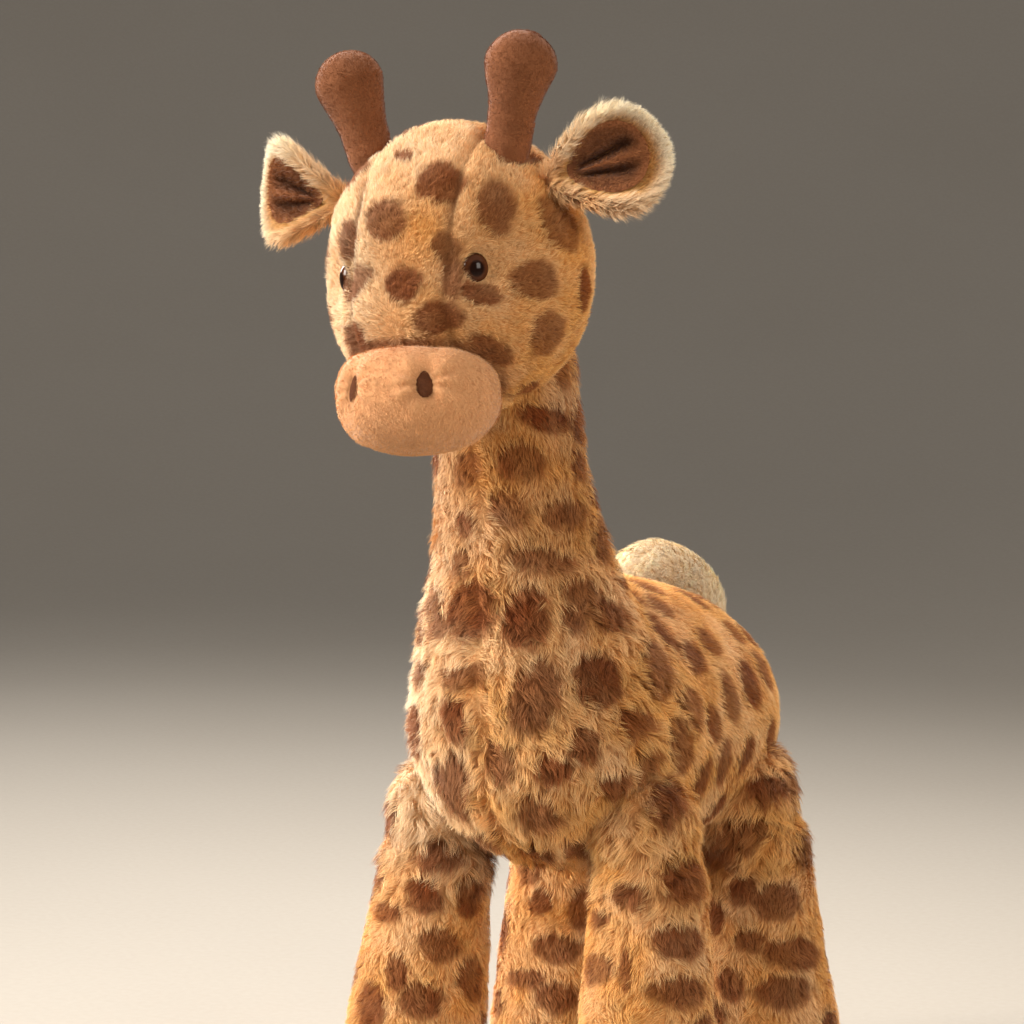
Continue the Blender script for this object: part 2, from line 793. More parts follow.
class Groom:
    """Grows pile on forms, with one source of chance for the whole toy."""

    length_spread, uneven, sink, lowest = 0.35, 0.22, 0.0004, 0.0003

    def __init__(self, seed: int) -> None:
        self.rng = np.random.default_rng(seed)

    def sow(self, form: Form, coat: Coat, flow: Flow, weight: Optional[Shares] = None) -> Roots:
        """Spread a coat's roots evenly over a form.

        Args:
            form: The surface.
            coat: The pile that is to grow.
            flow: Gives the lie of the pile for points and normals.
            weight: Gives a relative density for points, or None.

        Returns:
            The roots.
        """
        tri, normals, count = form.triangles(), form.normals(), coat.count
        a, b, c = form.corners()
        area = np.linalg.norm(np.cross(b - a, c - a), axis=1)
        if weight is not None:
            area = area * weight((a + b + c) / 3.0)
        picks = self.rng.choice(len(area), count, p=area / area.sum())
        u, v = self.rng.random(count), self.rng.random(count)
        over = u + v > 1.0
        u[over], v[over] = 1.0 - u[over], 1.0 - v[over]
        share = np.stack((1.0 - u - v, u, v), 1)
        corners = tri[picks]
        points = sum(share[:, i:i + 1] * form.points[corners[:, i]] for i in range(3))
        facing = unit(sum(share[:, i:i + 1] * normals[corners[:, i]] for i in range(3)))
        lie = flow(points, facing)
        lie = unit(lie - facing * np.einsum("ij,ij->i", lie, facing)[:, None])
        return Roots(points, facing, lie, np.ones(count))

    def grow(self, roots: Roots, coat: Coat, dye: Callable) -> Tuple[Array, Array]:
        """Make a tapered ribbon at each root: two points at the root, two midway and a tip.

        Args:
            roots: Where they grow.
            coat: How they are cut and laid.
            dye: Gives root, middle and tip colours for points.

        Returns:
            The ribbons' points and a colour for each.
        """
        rng, count = self.rng, len(roots.points)
        length = coat.length * roots.scale * (1.0 + self.uneven * value_noise(roots.points, 0.009, 83))
        length = length * (1.0 + self.length_spread * rng.uniform(-1.0, 1.0, count))
        tufts = max(1, min(count, int(count / coat.clump)))
        heads = rng.choice(count, tufts, replace=False)
        nearest = nearest_in(index_of(roots.points[heads]), roots.points)
        side = np.cross(roots.normals, roots.flow)
        waves = bumps(roots.points, 81, (0.013, 0.9), (0.030, 0.7))
        tuft_lean = rng.normal(0.0, coat.stray, (tufts, 2))
        own_lean = rng.normal(0.0, coat.stray * 0.45, (count, 2))
        short = np.minimum(1.0, roots.scale) ** 1.5
        lean = (tuft_lean[nearest] + own_lean) * short[:, None]
        lie = roots.flow + side * (lean[:, :1] + (waves * coat.stray)[:, None])
        lifted = np.clip(coat.lift + 0.35 * lean[:, 1] * coat.lift, 0.08, 0.95)[:, None]
        way = unit(roots.normals * lifted + unit(lie) * (1.0 - lifted))
        tips = roots.points + way * length[:, None]
        tuft_tip = tips[heads][nearest] + (roots.points - roots.points[heads][nearest]) * 0.25
        pull = (coat.pull * short * rng.uniform(0.35, 1.0, count))[:, None]
        tips = tips + (tuft_tip - tips) * pull
        rise = unit(roots.normals * (lifted + 0.55) + unit(lie) * (1.0 - lifted))
        middles = (roots.points + rise * length[:, None] * 0.5) * 0.7 + (roots.points + tips) * 0.15
        twist = rng.normal(0.0, 0.35, count)[:, None]
        broad = unit(np.cross(roots.normals, way))
        broad = broad * np.cos(twist) + np.cross(way, broad) * np.sin(twist)
        half = broad * (coat.width * rng.uniform(0.7, 1.25, count))[:, None] / 2.0
        sunk = roots.points - roots.normals * self.sink
        points = np.stack((sunk - half, sunk + half, middles - half * 0.8, middles + half * 0.8, tips), 1)
        points[..., 2] = np.maximum(points[..., 2], self.lowest)
        low, mid, high = dye(roots.points)
        tone = 1.0 + rng.normal(0.0, 0.06, count) + rng.normal(0.0, 0.06, tufts)[nearest]
        colours = np.stack((low, low, mid, mid, high), 1) * tone[:, None, None]
        return points, np.clip(colours, 0.0, 1.0)


def down_flow(back: float, down: float, wave: float, parting: float = 0.0) -> Flow:
    """Pile that lies downwards with some drift.

    Args:
        back: Share of the lie towards the rump.
        down: Share of the lie towards the floor.
        wave: How far it wanders.
        parting: How far it leans away from the seam down the toy's front.

    Returns:
        A flow function.
    """
    def flow(points: Array, _: Array) -> Array:
        """The lie at each point."""
        lie = np.tile(np.array((0.0, back, -down)), (len(points), 1))
        for axis in range(3):
            lie[:, axis] += wave * value_noise(points, 0.020, 101 + axis)
        wander = points[:, 0] + 0.0012 * np.sin(points[:, 2] * 160.0)
        near = np.exp(-(wander / 0.0045) ** 2) * (points[:, 1] < 0.0)
        lie[:, 0] += parting * np.sign(wander) * near
        return lie
    return flow


def lit_side(points: Array) -> Array:
    """How pale the fur is, from 0 to 1: creamier on the throat, the brow and the toy's right."""
    right = smoothstep(0.000, -0.042, points[:, 0] + 0.12 * (points[:, 1] + 0.05))
    crown = smoothstep(0.325, 0.352, points[:, 2])
    above = smoothstep(0.080, 0.125, points[:, 2])
    return 0.12 + 0.74 * right * above + 0.30 * crown * (1.0 - right)


# ---------------------------------------------------------------- pieces

@dataclass
class Hold:
    """What a piece follows: one CAD body, or a blend between two."""

    body: str
    other: Optional[str] = None
    start: Optional[Array] = None
    end: Optional[Array] = None


class Builder:
    """Puts forms and their pile into the scene, dresses them and ties them to the frame."""

    most_fibres = 60000

    def __init__(self) -> None:
        self._made: Dict[Finishes, bpy.types.Material] = {}

    def dress(self, item: bpy.types.Object, finish: Finishes) -> None:
        """Give an object its material.

        Args:
            item: The object.
            finish: Which finish it wears.
        """
        if finish not in self._made:
            self._made[finish] = finish.value.build()
        item.data.materials.append(self._made[finish])

    def fix(self, item: bpy.types.Object, finish: Finishes, slot: str, hold: Hold,
            stands_for: Sequence[str] = (), fill: Optional[float] = None) -> None:
        """Dress an object and make it follow the frame.

        Args:
            item: The object.
            finish: Its finish.
            slot: The record's material slot.
            hold: What it follows.
            stands_for: The CAD nodes that it is shown instead of.
            fill: How tightly it is stuffed, or None if it isn't.
        """
        self.dress(item, finish)
        if hold.other is None:
            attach(item, hold.body)
        else:
            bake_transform(item)
        if stands_for:
            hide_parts(*stands_for)

    def skin(self, name: str, form: Form, finish: Finishes, slot: str, hold: Hold,
             dye: Optional[Callable], stands_for: Sequence[str], fill: float = 0.8) -> None:
        """Add the cloth under the pile, coloured between the pile's roots and middles.

        Args:
            name: The piece's name.
            form: Its surface.
            finish: Its finish.
            slot: The record's material slot.
            hold: What it follows.
            dye: Gives colours for points, or None.
            stands_for: The CAD nodes that it is shown instead of.
            fill: How tightly it is stuffed.
        """
        colours = None
        if dye is not None:
            low, mid, _ = dye(form.points)
            colours = low * 0.45 + mid * 0.55
        self.fix(make_mesh(name, form, colours), finish, slot, hold, stands_for, fill)

    @staticmethod
    def bake_grid(item: bpy.types.Object, count: int) -> None:
        """Give every fibre its own cell of a grid, for baking.

        Args:
            item: The pile.
            count: How many fibres it has.
        """
        across = math.ceil(math.sqrt(count))
        cell = np.stack((np.arange(count) % across, np.arange(count) // across), 1)[:, None]
        corners = np.array((((0.1, 0.1), (0.9, 0.1), (0.9, 0.5)), ((0.1, 0.1), (0.9, 0.5), (0.1, 0.5)),
                            ((0.1, 0.5), (0.9, 0.5), (0.5, 0.9))))
        layer = item.data.uv_layers.new(name="OFBake")
        places = (cell + corners[:, None]) / across
        layer.data.foreach_set("uv", places.astype(np.float32).ravel())

    def pile(self, name: str, groom: Groom, roots: Roots, coat: Coat, dye: Callable, slot: str,
             hold: Hold) -> None:
        """Add pile, in as many pieces as its fibres need.

        Args:
            name: The pieces' common name.
            groom: What grows it.
            roots: Where it grows.
            coat: How it is cut and laid.
            dye: Gives its colours.
            slot: The record's material slot.
            hold: What it follows.
        """
        points, colours = groom.grow(roots, coat, dye)
        count = len(points)
        parts = math.ceil(count / self.most_fibres)
        order = np.argsort(roots.points[:, 0] + roots.points[:, 1] * 0.35, kind="stable")
        for i, chosen in enumerate(np.array_split(order, parts)):
            chosen = np.sort(chosen)
            first = np.arange(len(chosen))[:, None] * 5
            tris = np.concatenate((first + (0, 1, 3), first + (0, 3, 2), first + (2, 3, 4)))
            form = Form(points[chosen].reshape(-1, 3), np.zeros((0, 4), int), tris)
            label = name if parts == 1 else f"{name}_{i + 1}"
            item = make_mesh(label, form, colours[chosen].reshape(-1, 3))
            self.bake_grid(item, len(chosen))
            self.fix(item, Finishes.FUR, slot, hold)
        LOG.info("pile %s: %d fibres in %d pieces", name, count, parts)


# ---------------------------------------------------------------- the toy's parts

@dataclass
class Torso:
    """The stuffed body, deep in the chest and lower at the rump, with longer fur on the chest."""

    front: float = 0.090
    back: float = 0.087
    chest_width: float = 0.0520
    waist_width: float = 0.0470
    rump_width: float = 0.0500
    chest_height: float = 0.0535
    rump_height: float = 0.0445
    chest_middle: float = 0.151
    rump_middle: float = 0.137
    fullness: float = 2.7
    cloth: float = 0.0009
    flank_share: float = 0.54

    def sizes(self, along: Array) -> Tuple[Array, Array, Array]:
        """Half width, half height and middle height along the body.

        Args:
            along: From -1 at the chest to 1 at the rump.

        Returns:
            Three arrays, in metres.
        """
        share = 0.5 * (along + 1.0)
        end = self.chest_width + (self.rump_width - self.chest_width) * share
        wide = self.waist_width + (end - self.waist_width) * along * along
        tall = self.chest_height + (self.rump_height - self.chest_height) * share
        middle = self.chest_middle + (self.rump_middle - self.chest_middle) * share
        return wide, tall, middle

    def place(self, units: Array) -> Array:
        """Positions on the body for rows of unit vectors."""
        along = np.clip(units[:, 1], -1.0, 1.0)
        round_part = np.maximum(np.hypot(units[:, 0], units[:, 2]), 1e-9)
        full = (1.0 - np.abs(along) ** self.fullness) ** (1.0 / self.fullness)
        wide, tall, middle = self.sizes(along)
        reach = np.where(along < 0.0, self.front, self.back)
        return np.stack((units[:, 0] / round_part * full * wide, along * reach,
                         middle + units[:, 2] / round_part * full * tall), 1)

    def depth(self, points: Array) -> Array:
        """Roughly how far inside the body points are, in metres; negative outside."""
        along = points[:, 1] / np.where(points[:, 1] < 0.0, self.front, self.back)
        inside = np.clip(np.abs(along), 0.0, 1.0)
        full = (1.0 - inside ** self.fullness) ** (1.0 / self.fullness)
        wide, tall, middle = self.sizes(np.clip(along, -1.0, 1.0))
        radial = np.hypot(points[:, 0] / wide, (points[:, 2] - middle) / tall)
        return np.where(np.abs(along) < 1.0, (full - radial) * np.minimum(wide, tall), -0.01)

    def form(self) -> Form:
        """The body's closed surface with the lumps of its filling."""
        made = ball_form(self.place, 1, 70, 96)
        return made.pushed(self.cloth + bumps(made.points, 3, (0.030, 0.0011), (0.012, 0.0004)))

    def build(self, toy: "Giraffe") -> None:
        """Add the body's cloth and its fur."""
        form, hold, coat = toy.forms["torso"], Hold("torso"), Coats.TORSO.value
        toy.builder.skin("torso_cloth", form, Finishes.FUR_CLOTH, "spotted_fur", hold, toy.dye,
                         ("torso_cover_left", "torso_cover_right", "torso_filling"))
        roots = toy.groom.sow(form, coat, down_flow(0.55, 1.0, 0.45, 1.3))
        roots = roots.kept(~toy.hidden(roots.points, "torso", toy.overlap))
        chest = smoothstep(-0.005, -0.06, roots.points[:, 1])
        roots.scale = self.flank_share + (1.0 - self.flank_share) * chest
        toy.builder.pile("torso_fur", toy.groom, roots, coat, toy.dye, "spotted_fur", hold)


@dataclass
class Neck:
    """The tall neck, which flares where it joins the chest."""

    # Heights along the neck from its base, and its radius at each
    profile: Tuple[Tuple[float, float], ...] = (
        (-0.034, 0.0300), (-0.020, 0.0400), (-0.004, 0.0398), (0.012, 0.0352), (0.028, 0.0302),
        (0.045, 0.0266), (0.062, 0.0246), (0.080, 0.0243), (0.100, 0.0243), (0.112, 0.0205))
    bend_below: float = 0.026
    bend_above: float = 0.014
    top_share: float = 0.72

    def __post_init__(self) -> None:
        self.axis = unit(NECK_TOP - NECK_BASE)
        knots = np.array(self.profile)
        self.along = np.linspace(knots[0, 0], knots[-1, 0], 64)
        coarse = np.interp(self.along, knots[:, 0], knots[:, 1])
        kernel = np.exp(-np.linspace(-2.0, 2.0, 9) ** 2)
        self.radii = np.convolve(np.pad(coarse, 4, mode="edge"), kernel / kernel.sum(), mode="valid")

    def depth(self, points: Array) -> Array:
        """How far inside the neck points are, in metres; negative outside."""
        offset = points - NECK_BASE
        along = offset @ self.axis
        radial = np.linalg.norm(offset - along[:, None] * self.axis, axis=1)
        inside = np.interp(along, self.along, self.radii) - radial
        ends = np.minimum(along - self.along[0], self.along[-1] - along)
        return np.minimum(inside, ends)

    def form(self) -> Form:
        """The neck's surface, closed at both ends inside its neighbours."""
        centres = NECK_BASE + self.along[:, None] * self.axis
        around = spokes(64, RIGHT, np.cross(self.axis, RIGHT))
        rings = centres[:, None] + self.radii[:, None, None] * around
        made = closed_tube(rings, centres[0] - self.axis * 0.006, centres[-1] + self.axis * 0.010)
        return made.pushed(bumps(made.points, 7, (0.026, 0.0009), (0.011, 0.0004)))

    def build(self, toy: "Giraffe") -> None:
        """Add the neck's cloth and its brushed fur, deeper in colour under the chin."""
        def throat(points: Array) -> Array:
            """How deep the fur's colour is under the chin."""
            return 0.26 * smoothstep(0.190, 0.235, points[:, 2])

        form, coat = toy.forms["neck"], Coats.NECK.value
        hold = Hold("torso", "neck", NECK_BASE - self.axis * self.bend_below,
                    NECK_BASE + self.axis * self.bend_above)
        dye = SpottedDye(toy.dye.spots, lit_side, throat)
        toy.builder.skin("neck_cloth", form, Finishes.FUR_CLOTH, "spotted_fur", hold, dye,
                         ("neck_cover_left", "neck_cover_right", "neck_filling"))
        roots = toy.groom.sow(form, coat, down_flow(0.10, 1.0, 0.55, 1.3))
        roots = roots.kept(~toy.hidden(roots.points, "neck", toy.overlap))
        low = smoothstep(0.26, 0.19, roots.points[:, 2])
        roots.scale = self.top_share + (1.0 - self.top_share) * low
        toy.builder.pile("neck_fur", toy.groom, roots, coat, dye, "spotted_fur", hold)


@dataclass
class Head:
    """The round head, wider at the crown, with its two gusset seams and its eye dents."""

    middle: Array = vector_field(0.0, -0.103, 0.306)
    half_width: float = 0.0425
    front: float = 0.043
    back: float = 0.044
    crown: float = 0.047
    jaw: float = 0.046
    wedge: float = 0.14
    snout: float = 0.40
    cloth: float = 0.0008
    gusset: float = 0.0170
    groove: float = 0.0019
    eye_azimuth: float = 39.0
    eye_latitude: float = -1.5
    dent: float = 0.0030
    dent_radius: float = 0.0078
    bridge: Array = vector_field(0.0, -0.150, 0.285)

    def place(self, units: Array, grow: float = 0.0) -> Array:
        """Positions on the upright head.

        Args:
            units: Rows of unit vectors.
            grow: How far the form is let out.

        Returns:
            Rows of positions.
        """
        forward = np.maximum(0.0, -units[:, 1])
        snout = 1.0 + self.snout * np.maximum(0.0, -units[:, 2]) * forward
        wide = (self.half_width + grow) * (1.0 - self.wedge * forward * forward) * snout
        reach = (np.where(units[:, 1] < 0.0, self.front, self.back) + grow) * snout
        tall = np.where(units[:, 2] > 0.0, self.crown, self.jaw) + grow
        return self.middle + np.stack((units[:, 0] * wide, units[:, 1] * reach, units[:, 2] * tall), 1)

    def spot(self, toward: Array) -> Array:
        """The place on the upright head in one direction from its middle."""
        return self.place(toward[None])[0]

    def eye_way(self, sign: float) -> Array:
        """The direction of an eye from the head's middle; sign is 1 on the left and -1 on the right."""
        return direction(sign * self.eye_azimuth, self.eye_latitude)

    def depth(self, points: Array) -> Array:
        """Roughly how far inside the leaned head points are, in metres; negative outside."""
        local = untilt_head(points) - self.middle
        size = np.stack((np.full(len(local), self.half_width),
                         np.where(local[:, 1] < 0.0, self.front, self.back),
                         np.where(local[:, 2] > 0.0, self.crown, self.jaw)), 1)
        around = self.place(unit(local / size)) - self.middle
        return np.linalg.norm(around, axis=1) - np.linalg.norm(local, axis=1)

    def seam(self, upright: Array) -> Array:
        """How near points of the upright head are to a gusset seam, from 1 on it to 0 away from it."""
        wander = 0.0012 * np.sin(upright[:, 2] * 90.0)
        off = np.abs(np.abs(upright[:, 0] + wander) - self.gusset)
        shown = smoothstep(-0.02, -0.09, upright[:, 1])
        return np.exp(-(off / 0.0016) ** 2) * (0.35 + 0.65 * shown)

    def form(self) -> Form:
        """The head's closed surface, leaned."""
        made = ball_form(lambda units: self.place(units, self.cloth), 2, 100, 128)
        upright = made.points
        amounts = bumps(upright, 11, (0.022, 0.0007), (0.010, 0.0003)) - self.groove * self.seam(upright)
        for _, sign in SIDES:
            off = np.linalg.norm(upright - self.spot(self.eye_way(sign)), axis=1)
            amounts -= self.dent * np.exp(-(off / self.dent_radius) ** 2)
        return made.pushed(amounts).tilted()

    def flow(self, points: Array, _: Array) -> Array:
        """The lie of the short fur, brushed away from the bridge of the nose."""
        lie = unit(points - tilt_head(self.bridge))
        for axis in range(3):
            lie[:, axis] += 0.30 * value_noise(points, 0.016, 111 + axis)
        return lie

    def trimmed(self, upright: Array) -> Array:
        """How long the fur is cut.

        Args:
            upright: Rows of positions on the upright head.

        Returns:
            A share of the coat's length for each: 0 on the eyes, less round them and in the seams.
        """
        scale, clear = np.ones(len(upright)), np.ones(len(upright))
        for _, sign in SIDES:
            eye = self.spot(self.eye_way(sign))
            off = np.linalg.norm(upright - eye, axis=1)
            clear *= smoothstep(0.0042, 0.0080, off) * 0.55 + 0.45
            inward = smoothstep(0.0010, 0.0045, abs(eye[0]) - np.abs(upright[:, 0]))
            clear *= 1.0 + inward * np.exp(-((off - 0.0064) / 0.0026) ** 2)
            scale = np.where(off < 0.0044, 0.0, scale)
        return scale * clear * (1.0 - 0.55 * self.seam(upright))

    def build(self, toy: "Giraffe") -> None:
        """Add the head's cloth and its short fur, parted at the seams and cleared round the eyes."""
        def crease(points: Array) -> Array:
            """How shaded the fur is along the muzzle's edge and the gusset's seams."""
            patchy = 0.75 + 0.35 * value_noise(points, 0.008, 91)
            seam = 0.70 * self.seam(untilt_head(points)) * (points[:, 2] < 0.335)
            edge = smoothstep(0.0042, 0.0010, -toy.muzzle.depth(points))
            return np.clip(np.maximum(edge, seam) * patchy, 0.0, 1.0)

        form, hold, coat = toy.forms["head"], Hold("head"), Coats.HEAD.value
        dye = SpottedDye(toy.dye.spots, lit_side, crease)
        toy.builder.skin("head_cloth", form, Finishes.FUR_CLOTH, "spotted_fur", hold, dye,
                         ("head_cover_left", "head_cover_right", "head_gusset", "head_filling"))
        roots = toy.groom.sow(form, coat, self.flow)
        roots = roots.kept(~toy.hidden(roots.points, "head", 0.0035))
        roots.scale = self.trimmed(untilt_head(roots.points))
        roots = roots.kept(roots.scale > 0.05)
        toy.builder.pile("head_fur", toy.groom, roots, coat, dye, "spotted_fur", hold)


@dataclass
class Muzzle:
    """The short-pile muzzle, a wide bun with two drawn-in nostrils."""

    middle: Array = vector_field(0.0, -0.136, 0.266)
    half: Array = vector_field(0.0265, 0.0240, 0.0185)
    cloth: float = 0.0004
    squareness: float = 2.5
    nostril_azimuth: float = 31.0
    nostril_latitude: float = 12.0
    dimple: float = 0.0036
    dimple_reach: float = 0.018
    edge: float = 0.0015

    def corner(self, units: Array) -> Array:
        """How far the cheeks are let out, so that the bun is a little square from the front.

        Args:
            units: Rows of positions on a unit ball.

        Returns:
            A factor for each, 1 or more.
        """
        turn = np.abs(unit(units[:, (0, 2)] + 1e-9))
        return (turn ** self.squareness).sum(axis=1) ** (-1.0 / self.squareness)

    def place(self, units: Array, grow: float = 0.0) -> Array:
        """Positions on the upright muzzle.

        Args:
            units: Rows of unit vectors.
            grow: How far the form is let out.

        Returns:
            Rows of positions.
        """
        let_out = self.corner(units)
        wide = np.stack((let_out, np.ones(len(units)), let_out), 1)
        return self.middle + units * wide * (self.half + grow)

    def depth(self, points: Array) -> Array:
        """Roughly how far inside the leaned muzzle points are, in metres; negative outside."""
        local = untilt_head(points) - self.middle
        shares = local / self.half
        shares[:, (0, 2)] /= self.corner(shares)[:, None]
        return np.linalg.norm(local, axis=1) * (1.0 / np.linalg.norm(shares, axis=1) - 1.0)

    def nostril_frame(self, sign: float) -> Tuple[Array, Array, Array, Array]:
        """Where a nostril is sewn.

        Args:
            sign: 1 on the left, -1 on the right.

        Returns:
            Its middle and its side, up and outward directions on the upright muzzle.
        """
        toward = direction(sign * self.nostril_azimuth, self.nostril_latitude)
        normal = unit(toward / self.half)
        side = unit(np.cross(UP, normal))
        return self.place(toward[None])[0], side, np.cross(normal, side), normal

    def from_nostril(self, upright: Array, sign: float) -> Tuple[Array, Array, Array]:
        """How far points of the upright muzzle are from a nostril, across, up and over all."""
        point, side, up, _ = self.nostril_frame(sign)
        offset = upright - point
        return offset @ side, offset @ up, np.linalg.norm(offset, axis=1)

    def form(self) -> Form:
        """The muzzle's closed surface, leaned."""
        made = ball_form(lambda units: self.place(units, self.cloth), 1, 120, 160)
        amounts = bumps(made.points, 21, (0.016, 0.0006), (0.007, 0.0002))
        for _, sign in SIDES:
            across, tall, far = self.from_nostril(made.points, sign)
            off = np.hypot(across / 0.0038, tall / 0.0050)
            angle = np.arctan2(tall, across)
            pull = np.exp(-(off / 1.15) ** 2) * self.dimple
            rays = np.sin(angle * 7.0 + sign + 2.0 * np.sin(angle * 2.0))
            creases = rays * np.exp(-((off - 1.9) / 1.1) ** 2)
            amounts -= np.where(far < self.dimple_reach, pull - 0.00045 * creases, 0.0)
        return made.pushed(amounts).tilted()

    def build(self, toy: "Giraffe") -> None:
        """Add the muzzle's velour, its soft nap and the seam round it."""
        def worn(points: Array) -> Array:
            """How brown the velour is: in the seam round it and in the nostrils' dimples."""
            seam = smoothstep(0.0042, 0.0012, -toy.head.depth(points))
            dimples = np.zeros(len(points))
            for _, sign in SIDES:
                across, tall, far = self.from_nostril(untilt_head(points), sign)
                off = np.hypot(across / 0.0036, tall / 0.0050)
                dimples += 0.55 * np.exp(-off ** 4) * (far < self.dimple_reach)
            return 0.85 * seam + dimples + 0.10 * value_noise(points, 0.009, 95)

        form, hold, coat = self.form(), Hold("head"), Coats.MUZZLE.value
        dye = ShadedDye(Dye.MUZZLE, Dye.CREASE, worn)
        near_seam = np.exp(-((-toy.head.depth(form.points) - 0.0008) / 0.0020) ** 2)
        form = form.pushed(-self.edge * near_seam)
        toy.builder.skin("muzzle_velour", form, Finishes.MUZZLE, "muzzle_velour", hold, dye,
                         ("muzzle_cover", "muzzle_filling"), 0.9)
        roots = toy.groom.sow(form, coat, down_flow(0.2, 1.0, 0.9))
        keep = ~toy.hidden(roots.points, "muzzle", 0.0015)
        for _, sign in SIDES:
            across, tall, _ = self.from_nostril(untilt_head(roots.points), sign)
            keep &= np.hypot(across / 0.0030, tall / 0.0043) > 1.0
        toy.builder.pile("muzzle_nap", toy.groom, roots.kept(keep), coat, dye, "muzzle_velour", hold)


@dataclass
class Nostrils:
    """Two ovals of satin stitches, each drawn into its dimple."""

    half_width: float = 0.0029
    half_height: float = 0.0042
    sunk: float = 0.0023
    stitches: int = 19
    thread: float = 0.00030
    bulge: float = 0.0007
    knots: int = 9
    sides: int = 8

    def stitch(self, height: float, frame_: Tuple[Array, Array, Array, Array]) -> Array:
        """One stitch across the oval, as rings of points.

        Args:
            height: Its height in the oval, from -1 to 1.
            frame_: The nostril's middle and its side, up and outward directions.

        Returns:
            Rows of positions, ring by ring.
        """
        point, side, up, normal = frame_
        middle = point - normal * self.sunk + up * height * self.half_height
        half = self.half_width * math.sqrt(max(0.0, 1.0 - height * height)) + 0.0002
        rings = []
        for share in np.linspace(-1.0, 1.0, self.knots):
            arch = 1.0 - share * share
            at = middle + side * share * half + normal * (self.bulge * arch - 0.0001)
            thick = self.thread * (0.55 + 0.45 * math.sqrt(max(0.0, arch)))
            rings.append(at + spokes(self.sides, up * thick, normal * thick))
        return np.concatenate(rings)

    def build(self, toy: "Giraffe") -> None:
        """Add both nostrils."""
        quads = ring_quads(self.knots, self.sides)
        for side_name, sign in SIDES:
            frame_ = toy.muzzle.nostril_frame(sign)
            rows = [self.stitch((i + 0.5) / self.stitches * 2.0 - 1.0, frame_) for i in range(self.stitches)]
            faces = [quads + i * self.knots * self.sides for i in range(self.stitches)]
            form = Form(np.concatenate(rows), np.concatenate(faces)).tilted()
            item = make_mesh(f"nostril_stitches_{side_name}", form)
            toy.builder.fix(item, Finishes.THREAD, "nostril_thread", Hold("head"), (f"nostril_{side_name}",))


@dataclass
class Eyes:
    """Two domed glossy eyes, dark brown round a black pupil."""

    radius: float = 0.0048
    narrow: float = 0.91
    tall: float = 1.08
    dome: float = 0.0031
    back: float = 0.0012
    sunk: float = 0.0021
    shares: Tuple[float, ...] = (0.0, 0.10, 0.22, 0.34, 0.46, 0.58, 0.70, 0.80, 0.89, 0.96, 1.0,
                                 1.0, 0.96, 0.5)
    pupil: Colour = (0.014, 0.005, 0.003)
    iris: Colour = (0.085, 0.027, 0.010)

    def build(self, toy: "Giraffe") -> None:
        """Add both eyes."""
        head = toy.head
        shares = np.array(self.shares)
        front = self.dome * np.sqrt(1.0 - shares[:11] ** 2 * 0.999)
        rises = np.concatenate((front, (-self.back / 2.0, -self.back, -self.back)))
        for side_name, sign in SIDES:
            toward = head.eye_way(sign)
            normal = unit(toward / np.array((head.half_width * 0.92, head.front, head.crown)))
            side = unit(np.cross(UP, normal))
            up = np.cross(normal, side)
            seat = head.spot(toward) - normal * self.sunk
            around = spokes(40, side * self.narrow, up * self.tall)
            rings = seat + shares[1:, None, None] * self.radius * around + rises[1:, None, None] * normal
            made = closed_tube(rings, seat + normal * rises[0], seat - normal * self.back)
            local = made.points - seat
            off = np.hypot(local @ side, local @ up) / self.radius
            outer = smoothstep(0.46, 0.60, off)[:, None]
            rim = smoothstep(0.86, 1.0, off)[:, None]
            colours = np.array(self.pupil) * (1.0 - outer) + np.array(self.iris) * outer
            item = make_mesh(f"eye_dome_{side_name}", made.tilted(), colours * (1.0 - 0.7 * rim))
            toy.builder.fix(item, Finishes.EYE, "eye_plastic", Hold("head"), (f"eye_{side_name}",))


